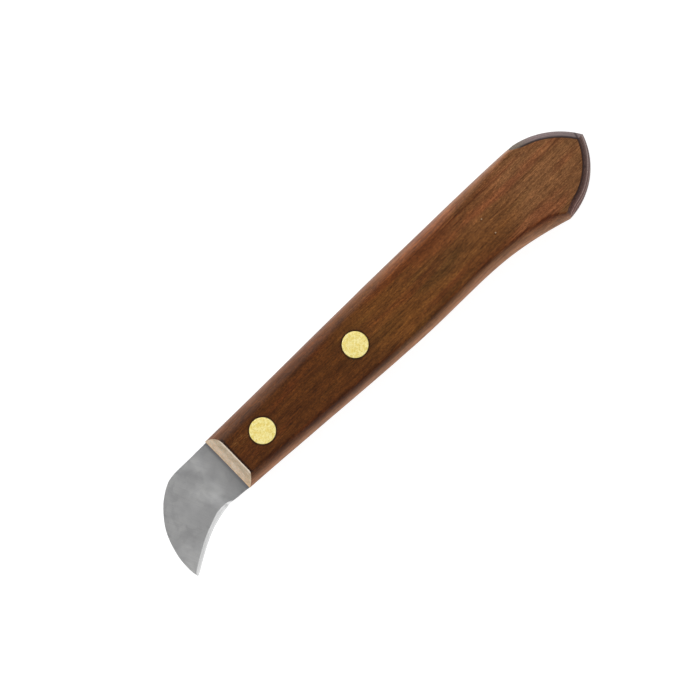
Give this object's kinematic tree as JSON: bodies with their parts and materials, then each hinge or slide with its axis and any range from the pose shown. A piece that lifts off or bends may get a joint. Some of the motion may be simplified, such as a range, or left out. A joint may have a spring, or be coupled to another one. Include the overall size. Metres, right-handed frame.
{
  "type": "whittling knife",
  "caption": "Small hand knife with a short hooked carving blade held in a slotted wooden handle by flush brass rivets, the handle widening to a pointed butt.",
  "frame": {"origin": "middle of the handle's lower flat, on the plane the knife rests on", "axes": "+X along the knife from the blade to the butt, +Y towards the spine side, +Z across the thickness, up from the resting flat"},
  "size_m": [0.1508, 0.0246, 0.011],
  "materials": {
    "blade_steel": "satin ground carbon steel with a brighter sharpened bevel",
    "handle_wood": "reddish brown stained hardwood, lightly varnished, open dark pores along the grain, bare pale end grain on the front bevels, dark end grain on the butt",
    "rivet_brass": "pale yellow brass, sanded flush with the wood"
  },
  "bodies": {
    "root": {"blade": "blade_steel", "handle": "handle_wood", "front_rivet_female": "rivet_brass", "front_rivet_male": "rivet_brass", "rear_rivet_female": "rivet_brass", "rear_rivet_male": "rivet_brass"}
  },
  "joints": []
}
